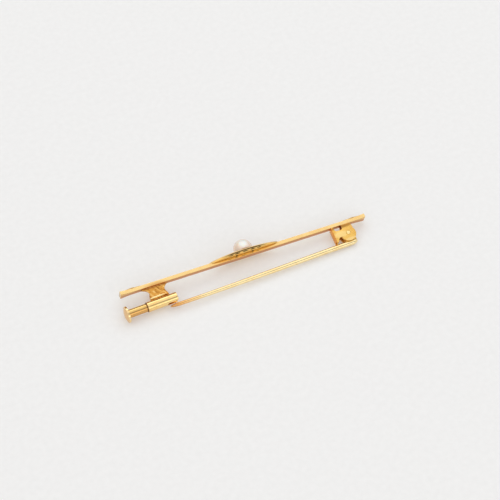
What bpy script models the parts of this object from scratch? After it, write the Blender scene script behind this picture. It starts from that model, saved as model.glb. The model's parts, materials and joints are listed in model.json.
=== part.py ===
"""Gold bar brooch: a pearl on a pierced plaque, a hinged pin and a trombone tube catch.

The brooch is designed in its own axes, in millimetres: X runs along the bar from the catch to the
hinge, +Y is the front with the pearl, and Z is the height of the bar's face.  It is then laid down as
it rests on a table, on the thumb disc, the plaque's lower edge and the hinge's lower cheek.
"""
import math

import bmesh
import bpy
from mathutils import Matrix, Vector

MM = 0.001
MERGE = 1e-7

# Bar
BAR_LENGTH = 54.0
BAR_DEPTH = 0.80
BAR_HEIGHT = 1.23
FLARE_LENGTH = 3.4
FLARE_HEIGHT = 2.1
BAR_BACK = -BAR_DEPTH / 2
SOLDER_GAP = 0.02

# Plaque, let into the bar's front
PLAQUE_HALF_LENGTH = 7.8
PLAQUE_HALF_HEIGHT = 2.15
PLAQUE_FULLNESS = 1.8
PLAQUE_BLUNTNESS = 0.6
PLAQUE_THICKNESS = 0.22
PLAQUE_BACK = 0.18
PLAQUE_FRONT = PLAQUE_BACK + PLAQUE_THICKNESS
RIM_RADIUS = 0.10
# Piercings of one quarter: distance along the bar, inset from the rim, length and width.
PIERCINGS = (
    (1.70, 0.46, 1.20, 0.50),
    (3.05, 0.44, 1.05, 0.42),
)
CENTRE_PIERCING = (1.45, 0.50, 0.46)
SMALL_HOLE_X = 1.75
SMALL_HOLE_Z = 0.80
SMALL_HOLE_RADIUS = 0.19

# Pearl, its cup and its peg
PEARL_RADIUS = 2.0
PEARL_X = 0.20
PEARL_CENTRE = 1.50
PEARL_SEAT = 0.80
CUP_RADIUS = 1.60
PEG_RADIUS = 0.30
PEG_CLEARANCE = 0.03
PEG_TOP = 2.20

# Leaves on the front of the bar's ends
LEAF_THICKNESS = 0.25
LEAF_X = 24.3

# Trombone catch, in a frame that leans a little against the bar
CATCH_CENTRE = (-19.65, -4.13, 0.0)
CATCH_LEAN = math.radians(2.0)
TUBE_LENGTH = 6.5
TUBE_RADIUS = 1.03
TUBE_BORE = 0.91
TUBE_LIP = 0.08
PLUNGER_RADIUS = 0.86
PLUNGER_BORE = 0.68
PLUNGER_CLEARANCE = 0.03
PLUNGER_TRAVEL = 3.90
PLUNGER_INNER_END = TUBE_LENGTH / 2 - PLUNGER_TRAVEL - 0.05
DISC_RADIUS = 1.68
DISC_THICKNESS = 0.42
DISC_DOME = 0.36
DISC_FACE = -TUBE_LENGTH / 2 - PLUNGER_TRAVEL - 0.05
PIN_SLOT_LENGTH = 2.4
PIN_SLOT_HALF_WIDTH = 0.48
PIP_X = -2.80
PIP_RADIUS = 0.17
PIP_CLEARANCE = 0.03

# Catch plate
PLATE_X = CATCH_CENTRE[0]
PLATE_TOP_HALF_WIDTH = 2.85
PLATE_WAIST_HALF_WIDTH = 1.60
PLATE_FOOT_HALF_WIDTH = 2.08
PLATE_WAIST_Y = -1.80
PLATE_TOP_Z = 0.02
PLATE_BOTTOM_Z = -0.43
CRADLE_RADIUS = TUBE_RADIUS + 0.03
CRADLE_THICKNESS = 0.30

# Hinge
HINGE_X = 22.13
HINGE_Y = -2.54
KNUCKLE_RADIUS = 1.68
KNUCKLE_CENTRE = (HINGE_X - 0.08, HINGE_Y - 0.10)
CHEEK_INNER = 0.53
CHEEK_OUTER = 0.85
WEB_X = 19.05
WEB_THICKNESS = 0.32
WEB_END_Y = -3.60
LEG_WIDTH = 0.80
LEG_FOOT_WIDTH = 0.32
LEG_END_Y = -3.95
EYE_LEFT = 19.55
EYE_RIGHT = 21.28
EYE_FLOOR_Y = -1.55
EYE_CORNER = 0.50
NOTCH_TOP_Y = -3.02
CHAMFER_START = 0.60
CHEEK_CHAMFER = 0.45
RIVET_RADIUS = 0.275
RIVET_CLEARANCE = 0.03
RIVET_HEAD_RADIUS = 0.48
RIVET_HEAD_HEIGHT = 0.20

# Pin
PIN_OFFSET = 2.02
PIN_LENGTH = 40.55
PIN_HEEL = 1.12
PIN_RADIUS = 0.56
PIN_TIP_RADIUS = 0.39
PIN_TAPER_END = 38.3
PIN_BOW = 0.12
TONGUE_RADIUS = 1.25
TONGUE_HALF_THICKNESS = 0.49
PIN_REST_ANGLE = math.radians(1.50)


# ---------------------------------------------------------------- scene helpers

def clear_scene():
    for obj in list(bpy.data.objects):
        bpy.data.objects.remove(obj, do_unlink=True)


def new_collection(name):
    collection = bpy.data.collections.new(name)
    bpy.context.scene.collection.children.link(collection)
    return collection


def new_empty(name, parent, location=(0, 0, 0), turn_z=0.0):
    empty = bpy.data.objects.new(name, None)
    empty.empty_display_size = 2 * MM
    empty.location = Vector(location) * MM
    empty.rotation_euler = (0, 0, turn_z)
    empty.parent = parent
    PARTS.objects.link(empty)
    return empty


def principled(name, color, roughness, metallic):
    material = bpy.data.materials.new(name)
    material.use_nodes = True
    shader = material.node_tree.nodes["Principled BSDF"]
    shader.inputs["Base Color"].default_value = (*color, 1.0)
    shader.inputs["Roughness"].default_value = roughness
    shader.inputs["Metallic"].default_value = metallic
    return material


def gold(name, roughness=0.22):
    return principled(name, (0.86, 0.58, 0.24), roughness, 1.0)


def add_object(name, data, material, parent, location=(0, 0, 0), rotation=(0, 0, 0)):
    """Link a sub-part, placed in its parent's axes."""
    obj = bpy.data.objects.new(name, data)
    obj.location = Vector(location) * MM
    obj.rotation_euler = rotation
    obj.parent = parent
    data.materials.append(material)
    PARTS.objects.link(obj)
    return obj


def make_cutter(obj):
    """Move an object to the cutters' collection and hide it."""
    for collection in list(obj.users_collection):
        collection.objects.unlink(obj)
    CUTTERS.objects.link(obj)
    obj.hide_render = True
    obj.display_type = 'WIRE'
    return obj


def boolean(obj, cutter, operation='DIFFERENCE'):
    modifier = obj.modifiers.new(operation.title(), 'BOOLEAN')
    modifier.operation = operation
    modifier.solver = 'EXACT'
    modifier.object = cutter


def bevel(obj, width, angle=40):
    weld = obj.modifiers.new("Weld", 'WELD')
    weld.merge_threshold = MERGE
    modifier = obj.modifiers.new("Bevel", 'BEVEL')
    modifier.width = width * MM
    modifier.segments = 2
    modifier.limit_method = 'ANGLE'
    modifier.angle_limit = math.radians(angle)


# ---------------------------------------------------------------- shape helpers

ALONG_X = (0, math.pi / 2, 0)
ALONG_Y = (-math.pi / 2, 0, 0)
FACING_FRONT = (math.pi / 2, 0, 0)
ALONG_BAR = (math.pi / 2, 0, math.pi / 2)


def outline_curve(name, outlines, thickness):
    """A flat plate from closed outlines; every outline after the first is a hole."""
    curve = bpy.data.curves.new(name, 'CURVE')
    curve.dimensions = '2D'
    curve.fill_mode = 'BOTH'
    curve.extrude = thickness / 2 * MM
    for points in outlines:
        spline = curve.splines.new('POLY')
        spline.points.add(len(points) - 1)
        for point, (x, y) in zip(spline.points, points):
            point.co = (x * MM, y * MM, 0, 1)
        spline.use_cyclic_u = True
    return curve


def wire_curve(name, points, radius, cyclic=False, taper=None):
    """A round wire through the points; taper gives each point's share of the radius."""
    curve = bpy.data.curves.new(name, 'CURVE')
    curve.dimensions = '3D'
    curve.bevel_depth = radius * MM
    curve.bevel_resolution = 2
    curve.use_fill_caps = not cyclic
    spline = curve.splines.new('POLY')
    spline.points.add(len(points) - 1)
    for index, (point, position) in enumerate(zip(spline.points, points)):
        point.co = (*(Vector(position) * MM), 1)
        point.radius = taper[index] if taper else 1.0
    spline.use_cyclic_u = cyclic
    return curve


def as_mesh(obj):
    """Turn a curve object into a closed mesh object, so that it can be cut or can cut."""
    bpy.context.view_layer.update()
    depsgraph = bpy.context.evaluated_depsgraph_get()
    mesh = bpy.data.meshes.new_from_object(obj.evaluated_get(depsgraph))
    welded = bmesh.new()
    welded.from_mesh(mesh)
    bmesh.ops.remove_doubles(welded, verts=welded.verts, dist=MERGE)
    welded.to_mesh(mesh)
    welded.free()
    name = obj.name
    parent = obj.parent
    matrix = obj.matrix_world.copy()
    bpy.data.objects.remove(obj, do_unlink=True)
    solid = bpy.data.objects.new(name, mesh)
    solid.parent = parent
    PARTS.objects.link(solid)
    solid.matrix_world = matrix
    return solid


def turned(name, profile, material, parent, location, rotation, steps=32, closed=False):
    """A turned piece: (radius, height) pairs, down the outer side first, spun about local Z."""
    mesh = bpy.data.meshes.new(name)
    points = [(radius * MM, 0, height * MM) for radius, height in profile]
    edges = [(i, i + 1) for i in range(len(points) - 1)]
    if closed:
        edges.append((len(points) - 1, 0))
    mesh.from_pydata(points, edges, [])
    obj = add_object(name, mesh, material, parent, location, rotation)
    screw = obj.modifiers.new("Screw", 'SCREW')
    screw.steps = steps
    screw.render_steps = steps
    screw.use_merge_vertices = True
    screw.merge_threshold = MERGE
    screw.use_smooth_shade = True
    return obj


def cylinder_cutter(name, radius, length, parent, location, rotation, sides=24):
    mesh = bpy.data.meshes.new(name)
    cylinder = bmesh.new()
    bmesh.ops.create_cone(cylinder, cap_ends=True, segments=sides, radius1=radius * MM,
                          radius2=radius * MM, depth=length * MM)
    cylinder.to_mesh(mesh)
    cylinder.free()
    return make_cutter(add_object(name, mesh, CUT_MATERIAL, parent, location, rotation))


def plate_cutter(name, points, thickness, parent, location=(0, 0, 0), rotation=(0, 0, 0)):
    curve = outline_curve(name, [points], thickness)
    return make_cutter(as_mesh(add_object(name, curve, CUT_MATERIAL, parent, location, rotation)))


def arc(centre, radius, start, end, count):
    """Points of an arc, angles in degrees."""
    angles = [math.radians(start + (end - start) * i / (count - 1)) for i in range(count)]
    return [(centre[0] + radius * math.cos(a), centre[1] + radius * math.sin(a)) for a in angles]


def rounded_slot(x0, x1, half_width, count=7):
    """Outline of a slot whose left end is round; its right end is open and square."""
    return [(x1, -half_width), (x1, half_width)] + arc((x0 + half_width, 0), half_width, 90, 270, count)


# ---------------------------------------------------------------- bar and its front

def bar_half_height(distance_from_end):
    """Half the bar's height: constant, and flaring out like a trumpet at each end."""
    inward = min(distance_from_end / FLARE_LENGTH, 1.0)
    return (BAR_HEIGHT + (FLARE_HEIGHT - BAR_HEIGHT) * (1 - inward) ** 2) / 2


def make_bar():
    steps = 7
    distances = [FLARE_LENGTH * i / (steps - 1) for i in range(steps)]
    end = BAR_LENGTH / 2
    upper = [(-end + d, bar_half_height(d)) for d in distances]
    upper += [(end - d, bar_half_height(d)) for d in reversed(distances)]
    outline = upper + [(x, -z) for x, z in reversed(upper)]
    curve = outline_curve("bar", [outline], BAR_DEPTH)
    bar = as_mesh(add_object("bar", curve, gold("bar_gold"), ROOT, rotation=FACING_FRONT))
    recess = PLAQUE_HALF_LENGTH + 0.1
    recess_floor = PLAQUE_BACK - SOLDER_GAP
    box = [(-recess, recess_floor), (recess, recess_floor), (recess, BAR_DEPTH), (-recess, BAR_DEPTH)]
    boolean(bar, plate_cutter("bar_recess_cutter", box, 2 * FLARE_HEIGHT, ROOT))
    bevel(bar, 0.07)


def plaque_edge(x):
    """Half the plaque's height at x: a full curve over the middle that runs out to a blunt point."""
    share = max(0.0, 1 - abs(x / PLAQUE_HALF_LENGTH) ** PLAQUE_FULLNESS)
    return PLAQUE_HALF_HEIGHT * share ** PLAQUE_BLUNTNESS


def navette(inset, count=25):
    """The plaque's pointed-oval outline, moved inwards by inset."""
    length_share = 1 - 2 * inset / PLAQUE_HALF_LENGTH
    height_share = 1 - inset / PLAQUE_HALF_HEIGHT
    turns = [math.pi * (i / (count - 1) - 0.5) for i in range(count)]
    stations = [PLAQUE_HALF_LENGTH * math.sin(turn) for turn in turns]
    upper = [(x * length_share, plaque_edge(x) * height_share) for x in stations]
    return upper + [(x, -z) for x, z in reversed(upper[1:-1])]


def petal(x, z, length, width, tilt, count=5):
    """A pointed petal-shaped hole."""
    half = length / 2
    radius = (half ** 2 + (width / 2) ** 2) / width
    sweep = math.degrees(math.asin(half / radius))
    upper = arc((0, width / 2 - radius), radius, 90 + sweep, 90 - sweep, count)
    points = upper + [(px, -pz) for px, pz in reversed(upper[1:-1])]
    turn = Matrix.Rotation(tilt, 2)
    return [(Vector((x, z)) + turn @ Vector(point))[:] for point in points]


def make_plaque():
    holes = [arc((PEARL_X, 0), PEG_RADIUS + PEG_CLEARANCE, 0, 345, 24)]
    length, width, inset = CENTRE_PIERCING
    for side_z in (1, -1):
        holes.append(petal(0, side_z * (PLAQUE_HALF_HEIGHT - inset), length, width, 0))
        for side_x in (1, -1):
            holes.append(arc((side_x * SMALL_HOLE_X, side_z * SMALL_HOLE_Z), SMALL_HOLE_RADIUS, 0, 315, 8))
            for x, inset_x, length_x, width_x in PIERCINGS:
                z = side_z * (plaque_edge(x) - inset_x)
                slope = (plaque_edge(x + 0.01) - plaque_edge(x)) / 0.01
                tilt = side_x * side_z * math.atan(slope)
                holes.append(petal(side_x * x, z, length_x, width_x, tilt))
    curve = outline_curve("plaque", [navette(0)] + holes, PLAQUE_THICKNESS)
    middle = (0, PLAQUE_BACK + PLAQUE_THICKNESS / 2, 0)
    add_object("plaque", curve, gold("plaque_gold"), ROOT, middle, FACING_FRONT)


def make_plaque_rim():
    y = PLAQUE_FRONT + SOLDER_GAP + RIM_RADIUS
    points = [(x, y, z) for x, z in navette(RIM_RADIUS + 0.02)]
    curve = wire_curve("plaque_rim", points, RIM_RADIUS, cyclic=True)
    add_object("plaque_rim", curve, gold("rim_gold", 0.16), ROOT)


def make_pearl():
    """A drilled pearl, flattened where it sits."""
    seat = PEARL_SEAT - PEARL_CENTRE
    seat_radius = math.sqrt(PEARL_RADIUS ** 2 - seat ** 2)
    hole = PEG_RADIUS + PEG_CLEARANCE + 0.01
    last = 90 + math.degrees(math.asin(-seat / PEARL_RADIUS))
    angles = [math.radians(last * i / 12) for i in range(12)]
    profile = [(PEARL_RADIUS * math.sin(a), PEARL_RADIUS * math.cos(a)) for a in angles]
    drilled = PEG_TOP + 0.06 - PEARL_CENTRE
    profile += [(seat_radius, seat), (hole, seat), (hole, drilled), (0, drilled + 0.12)]
    pearl = principled("pearl_nacre", (0.88, 0.82, 0.76), 0.18, 0.0)
    turned("pearl", profile, pearl, ROOT, (PEARL_X, PEARL_CENTRE, 0), ALONG_Y, steps=36)


def make_pearl_cup():
    bottom = PLAQUE_FRONT + SOLDER_GAP
    top = PEARL_SEAT - SOLDER_GAP
    bore = PEG_RADIUS + PEG_CLEARANCE
    outside = [(CUP_RADIUS, top), (CUP_RADIUS - 0.04, top - 0.08), (CUP_RADIUS - 0.25, bottom)]
    profile = outside + [(bore, bottom), (bore, top)]
    turned("pearl_cup", profile, gold("cup_gold"), ROOT, (PEARL_X, 0, 0), ALONG_Y, closed=True)


def make_pearl_peg():
    foot = PLAQUE_BACK + SOLDER_GAP
    chamfer = 0.1
    point = [(0, PEG_TOP), (PEG_RADIUS - chamfer, PEG_TOP), (PEG_RADIUS, PEG_TOP - chamfer)]
    profile = point + [(PEG_RADIUS, foot), (0, foot)]
    turned("pearl_peg", profile, gold("peg_gold", 0.35), ROOT, (PEARL_X, 0, 0), ALONG_Y, steps=20)


def leaf_outline():
    """Half of a three-lobed leaf as (distance along the bar, half width), mirrored about the bar."""
    half = [(-1.75, 0.24), (-1.35, 0.36), (-0.75, 0.40), (-0.40, 0.64), (0.0, 0.78), (0.35, 0.73),
            (0.42, 0.54), (0.30, 0.38), (0.75, 0.44), (1.20, 0.34), (1.65, 0.18)]
    return half + [(1.95, 0.0)] + [(x, -z) for x, z in reversed(half)]


def make_end_leaves():
    middle = -BAR_BACK + SOLDER_GAP + LEAF_THICKNESS / 2
    for name, side in (("left_end_leaf", -1), ("right_end_leaf", 1)):
        outline = [(-side * x, z) for x, z in leaf_outline()]
        curve = outline_curve(name, [outline], LEAF_THICKNESS)
        add_object(name, curve, gold(name + "_gold"), ROOT, (side * LEAF_X, middle, 0), FACING_FRONT)


# ---------------------------------------------------------------- trombone catch

def plate_half_outline():
    """Right half of the waisted plate, from the bar down, as (half width, y)."""
    top = BAR_BACK - SOLDER_GAP
    flare = []
    for i in range(9):
        u = i / 8
        width = PLATE_WAIST_HALF_WIDTH + (PLATE_TOP_HALF_WIDTH - PLATE_WAIST_HALF_WIDTH) * (1 - u) ** 2.2
        flare.append((width, top + (PLATE_WAIST_Y - top) * u))
    return flare + [(PLATE_FOOT_HALF_WIDTH, -3.2), (PLATE_FOOT_HALF_WIDTH, -4.4)]


def plate_side_profile():
    """The plate seen along the tube: flat, then a raised ridge, then a cradle under the tube."""
    far = 4.3
    outer = CRADLE_RADIUS + CRADLE_THICKNESS
    inside = arc((0, 0), CRADLE_RADIUS, -4, -65, 9)
    outside = arc((0, 0), outer, -65, -28, 6)
    steps = ((0.76, PLATE_TOP_Z), (0.62, 0.14), (0.48, 0.20), (0.32, 0.19), (0.18, 0.10), (0.07, -0.05))
    ridge = [(CRADLE_RADIUS + out, z) for out, z in steps]
    underside = [(outer, PLATE_BOTTOM_Z), (far, PLATE_BOTTOM_Z)]
    return [(far, PLATE_TOP_Z)] + ridge + inside + outside + underside


def make_catch_plate():
    right = plate_half_outline()
    outline = [(PLATE_X + w, y) for w, y in right] + [(PLATE_X - w, y) for w, y in reversed(right)]
    curve = outline_curve("catch_plate", [outline], 3.0)
    plate = as_mesh(add_object("catch_plate", curve, gold("plate_gold", 0.34), ROOT))
    profile = plate_cutter("catch_plate_profile", plate_side_profile(), 8.0, CATCH, rotation=ALONG_BAR)
    boolean(plate, profile, 'INTERSECT')


def make_catch_tube():
    half = TUBE_LENGTH / 2
    mouth = PLUNGER_RADIUS + PLUNGER_CLEARANCE
    shoulder = TUBE_RADIUS - TUBE_LIP
    outside = [(shoulder, half), (TUBE_RADIUS, half - TUBE_LIP)]
    outside += [(TUBE_RADIUS, TUBE_LIP - half), (shoulder, -half)]
    collar = [(mouth, -half), (mouth, 0.25 - half), (TUBE_BORE, 0.32 - half)]
    profile = outside + collar + [(TUBE_BORE, half)]
    material = gold("tube_gold", 0.16)
    tube = turned("catch_tube", profile, material, CATCH, (0, 0, 0), ALONG_X, steps=40, closed=True)
    slot = rounded_slot(half - PIN_SLOT_LENGTH, half + 1, PIN_SLOT_HALF_WIDTH)
    boolean(tube, plate_cutter("pin_slot_cutter", slot, 1.2, CATCH, (0, -TUBE_RADIUS, 0), FACING_FRONT))
    under = (PIP_X, 0, -TUBE_RADIUS)
    bore_radius = PIP_RADIUS + SOLDER_GAP
    boolean(tube, cylinder_cutter("pip_bore_cutter", bore_radius, 0.6, CATCH, under, (0, 0, 0), 16))


def make_plunger():
    outer_end = DISC_FACE + SOLDER_GAP
    profile = [(PLUNGER_RADIUS, PLUNGER_INNER_END), (PLUNGER_RADIUS, outer_end),
               (PLUNGER_BORE, outer_end), (PLUNGER_BORE, PLUNGER_INNER_END)]
    material = gold("plunger_gold", 0.2)
    tube = turned("plunger_tube", profile, material, PLUNGER, (0, 0, 0), ALONG_X, closed=True)
    slot_half = PIP_RADIUS + PIP_CLEARANCE
    right = arc((PIP_X, 0), slot_half, 90, -90, 7)
    left = arc((PIP_X - PLUNGER_TRAVEL, 0), slot_half, 270, 90, 7)
    boolean(tube, plate_cutter("pip_slot_cutter", right + left, 0.5, PLUNGER, (0, 0, -PLUNGER_RADIUS)))


def make_thumb_disc():
    """Thick disc with rounded edges, domed on its outer face."""
    top = -DISC_THICKNESS
    dome = [(DISC_RADIUS * u, top - DISC_DOME * (1 - u * u)) for u in (0.0, 0.22, 0.44, 0.65, 0.82, 0.93)]
    edge = [(DISC_RADIUS, top + 0.10), (DISC_RADIUS, -0.10), (DISC_RADIUS - 0.1, 0.0), (0, 0)]
    profile = [(r, DISC_FACE + z) for r, z in dome + edge]
    profile.reverse()
    turned("thumb_disc", profile, gold("disc_gold", 0.2), PLUNGER, (0, 0, 0), ALONG_X, steps=48)


def make_stop_pip():
    top = PLUNGER_BORE + 0.04
    bottom = TUBE_RADIUS + 0.05
    profile = [(0, -top), (PIP_RADIUS, -top), (PIP_RADIUS, -bottom), (0, -bottom)]
    turned("stop_pip", profile, gold("pip_gold", 0.3), CATCH, (PIP_X, 0, 0), (0, 0, 0), steps=16)


# ---------------------------------------------------------------- hinge and pin

def bracket_outline():
    """Side of the bracket: a leg, an open eye beside the bar, a notch and a round knuckle."""
    top = BAR_BACK - SOLDER_GAP
    corner = 0.22
    foot_right = WEB_X + LEG_FOOT_WIDTH
    leg_right = WEB_X + LEG_WIDTH
    leg = [(EYE_LEFT, top), (WEB_X, top), (WEB_X, LEG_END_Y), (foot_right, LEG_END_Y)]
    leg_side = [(leg_right, NOTCH_TOP_Y - corner / 2)]
    notch = [(leg_right + corner, NOTCH_TOP_Y), (leg_right + 3 * corner, NOTCH_TOP_Y)]
    knuckle = arc(KNUCKLE_CENTRE, KNUCKLE_RADIUS, 196, 394, 21)
    shoulder = [(HINGE_X + 1.22, -1.08), (HINGE_X + 1.0, top)]
    corner_y = EYE_FLOOR_Y + EYE_CORNER
    eye_right = [(EYE_RIGHT, top)] + arc((EYE_RIGHT - EYE_CORNER, corner_y), EYE_CORNER, 0, -90, 5)
    eye_left = arc((EYE_LEFT + EYE_CORNER, corner_y), EYE_CORNER, 270, 180, 5)
    return leg + leg_side + notch + knuckle + shoulder + eye_right + eye_left


def make_hinge_bracket():
    curve = outline_curve("hinge_bracket", [bracket_outline()], 2 * CHEEK_OUTER)
    bracket = as_mesh(add_object("hinge_bracket", curve, gold("bracket_gold", 0.3), ROOT))
    web_inside = WEB_X + WEB_THICKNESS
    before_web = WEB_X - 1
    beyond = HINGE_X + 4
    below = -6.0
    above = 0.5
    gap = [(web_inside, above), (web_inside, WEB_END_Y), (before_web, WEB_END_Y), (before_web, below),
           (beyond, below), (beyond, above)]
    boolean(bracket, plate_cutter("bracket_gap_cutter", gap, 2 * CHEEK_INNER, ROOT))
    for side, name in ((1, "upper_chamfer_cutter"), (-1, "lower_chamfer_cutter")):
        high = side * (CHEEK_OUTER + 0.35)
        low = side * CHAMFER_START
        wedge = [(BAR_BACK - CHEEK_CHAMFER, high), (0.0, high), (0.0, low), (BAR_BACK, low)]
        boolean(bracket, plate_cutter(name, wedge, 12, ROOT, (HINGE_X, 0, 0), ALONG_BAR))
    hinge = (HINGE_X, HINGE_Y, 0)
    bore = cylinder_cutter("rivet_bore_cutter", RIVET_RADIUS + RIVET_CLEARANCE, 3, ROOT, hinge, (0, 0, 0))
    boolean(bracket, bore)


def make_hinge_rivet():
    face = CHEEK_OUTER + SOLDER_GAP
    crown = face + RIVET_HEAD_HEIGHT
    drop = 0.75 * RIVET_HEAD_HEIGHT
    dome = [(RIVET_HEAD_RADIUS * u, crown - drop * u ** 3) for u in (0.0, 0.4, 0.75, 1.0)]
    head = dome + [(RIVET_HEAD_RADIUS, face), (RIVET_RADIUS, face)]
    profile = head + [(r, -z) for r, z in reversed(head)]
    hinge = (HINGE_X, HINGE_Y, 0)
    turned("hinge_rivet", profile, gold("rivet_gold", 0.2), ROOT, hinge, (0, 0, 0), steps=24)


def make_pin_tongue():
    """Flat tongue on the rivet, with a saddle that the pin wire lies in."""
    foot = -PIN_OFFSET + 0.2
    half_foot = PIN_HEEL - 0.1
    outline = [(half_foot, foot)] + arc((0, 0), TONGUE_RADIUS, -14, 194, 21) + [(-half_foot, foot)]
    curve = outline_curve("pin_tongue", [outline], 2 * TONGUE_HALF_THICKNESS)
    tongue = as_mesh(add_object("pin_tongue", curve, gold("tongue_gold", 0.3), PIN))
    saddle_radius = PIN_RADIUS + SOLDER_GAP
    wire = (0, -PIN_OFFSET, 0)
    boolean(tongue, cylinder_cutter("tongue_saddle_cutter", saddle_radius, 8, PIN, wire, ALONG_X, 32))
    bore_radius = RIVET_RADIUS + RIVET_CLEARANCE
    boolean(tongue, cylinder_cutter("tongue_bore_cutter", bore_radius, 3, PIN, (0, 0, 0), (0, 0, 0)))


def pin_centre_line(x):
    """The wire bows away from the bar; the factor makes the bow PIN_BOW at two thirds of its length."""
    along = min(max(-x / PIN_LENGTH, 0.0), 1.0)
    return -PIN_OFFSET - 27 / 4 * PIN_BOW * along ** 2 * (1 - along)


def make_pin_stem():
    """Round wire whose heel is filed off towards the tongue; it tapers slowly, then runs to a point."""
    tip_taper = PIN_TIP_RADIUS / PIN_RADIUS
    heel = [(PIN_HEEL, 0.62), (PIN_HEEL - 0.22, 0.78), (PIN_HEEL - 0.6, 0.92)]
    points = [(x, -PIN_OFFSET + PIN_RADIUS * (1 - share), 0) for x, share in heel]
    stations = [(PIN_HEEL - 1.1, 1.0)]
    count = 8
    for i in range(1, count + 1):
        x = -PIN_TAPER_END * i / count
        stations.append((x, 1.0 - (1.0 - tip_taper) * i / count))
    for along in (0.35, 0.65, 0.88, 1.0):
        x = -PIN_TAPER_END - (PIN_LENGTH - PIN_TAPER_END) * along
        stations.append((x, max(tip_taper * math.sqrt(1 - along ** 2), 0.10)))
    points += [(x, pin_centre_line(x), 0) for x, _ in stations]
    curve = wire_curve("pin_stem", points, PIN_RADIUS, taper=[share for _, share in heel + stations])
    curve.bevel_resolution = 4
    add_object("pin_stem", curve, gold("pin_gold", 0.2), PIN)


# ---------------------------------------------------------------- resting attitude

def lowest_on_circle(centre, radius, axis, up):
    """The point of a circle that lies lowest when up points upwards."""
    across = up - axis * up.dot(axis)
    return centre - radius * across.normalized()


def resting_normal():
    """The table's normal in the brooch's axes: the plane under disc, plaque and hinge."""
    up = Vector((0, 0, 1))
    catch_axis = Vector((math.cos(CATCH_LEAN), math.sin(CATCH_LEAN), 0))
    disc_centre = Vector(CATCH_CENTRE) + catch_axis * (DISC_FACE - DISC_THICKNESS / 2)
    plaque_outline = [Vector((x, PLAQUE_BACK, z)) for x, z in navette(0)]
    knuckle_centre = Vector((*KNUCKLE_CENTRE, -CHEEK_OUTER))
    for _ in range(12):
        disc = lowest_on_circle(disc_centre, DISC_RADIUS, catch_axis, up)
        plaque = min(plaque_outline, key=up.dot)
        knuckle = lowest_on_circle(knuckle_centre, KNUCKLE_RADIUS, Vector((0, 0, 1)), up)
        up = (knuckle - disc).cross(plaque - disc).normalized()
    return up


def evaluated_points(obj, depsgraph):
    evaluated = obj.evaluated_get(depsgraph)
    mesh = evaluated.to_mesh()
    points = [evaluated.matrix_world @ vertex.co for vertex in mesh.vertices]
    evaluated.to_mesh_clear()
    return points


def lay_down(root):
    """Turn the brooch into its resting attitude and centre its box over the origin."""
    up = resting_normal()
    along = (Vector((1, 0, 0)) - up * up.x).normalized()
    root.matrix_world = Matrix((along, up.cross(along), up)).to_4x4()
    bpy.context.view_layer.update()
    depsgraph = bpy.context.evaluated_depsgraph_get()
    points = []
    for obj in PARTS.objects:
        if obj.type != 'EMPTY':
            points += evaluated_points(obj, depsgraph)
    low = Vector([min(p[i] for p in points) for i in range(3)])
    high = Vector([max(p[i] for p in points) for i in range(3)])
    root.location = (-(low.x + high.x) / 2, -(low.y + high.y) / 2, -low.z)


clear_scene()
PARTS = new_collection("pearl_bar_brooch")
CUTTERS = new_collection("cutters")
CUT_MATERIAL = principled("cutter", (0.5, 0.5, 0.5), 0.5, 0.0)
ROOT = new_empty("resting_attitude", None)
CATCH = new_empty("catch_frame", ROOT, CATCH_CENTRE, CATCH_LEAN)
PLUNGER = new_empty("plunger_slide_axis", CATCH)
PIN = new_empty("pin_hinge_axis", ROOT, (HINGE_X, HINGE_Y, 0), PIN_REST_ANGLE)

make_bar()
make_plaque()
make_plaque_rim()
make_pearl()
make_pearl_cup()
make_pearl_peg()
make_end_leaves()
make_catch_plate()
make_catch_tube()
make_plunger()
make_thumb_disc()
make_stop_pip()
make_hinge_bracket()
make_hinge_rivet()
make_pin_tongue()
make_pin_stem()
lay_down(ROOT)
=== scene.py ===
import json
import math

import bmesh
import bpy
from mathutils import Matrix, Vector, noise


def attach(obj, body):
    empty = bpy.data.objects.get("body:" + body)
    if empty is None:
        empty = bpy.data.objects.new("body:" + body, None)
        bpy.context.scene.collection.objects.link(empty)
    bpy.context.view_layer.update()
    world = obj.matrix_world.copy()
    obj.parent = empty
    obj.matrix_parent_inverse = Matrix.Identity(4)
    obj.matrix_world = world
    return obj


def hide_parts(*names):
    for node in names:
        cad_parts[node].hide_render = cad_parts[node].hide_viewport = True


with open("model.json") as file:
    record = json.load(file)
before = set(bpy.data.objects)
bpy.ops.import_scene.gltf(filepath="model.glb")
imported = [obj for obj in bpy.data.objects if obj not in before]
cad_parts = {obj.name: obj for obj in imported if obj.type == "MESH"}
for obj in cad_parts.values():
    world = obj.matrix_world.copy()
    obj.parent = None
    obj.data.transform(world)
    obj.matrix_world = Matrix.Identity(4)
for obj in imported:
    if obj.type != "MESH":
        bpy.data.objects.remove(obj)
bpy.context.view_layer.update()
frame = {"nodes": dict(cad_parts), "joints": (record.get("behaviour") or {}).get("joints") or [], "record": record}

MM = 0.001
MERGE = 1e-7


# ---- axes, from the record

def axes(origin, x_axis, z_axis):
    """A right-handed set of axes at a point, as a matrix."""
    z_axis = Vector(z_axis).normalized()
    x_axis = Vector(x_axis).normalized()
    y_axis = z_axis.cross(x_axis).normalized()
    x_axis = y_axis.cross(z_axis)
    return Matrix.Translation(origin) @ Matrix((x_axis, y_axis, z_axis)).transposed().to_4x4()


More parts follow.
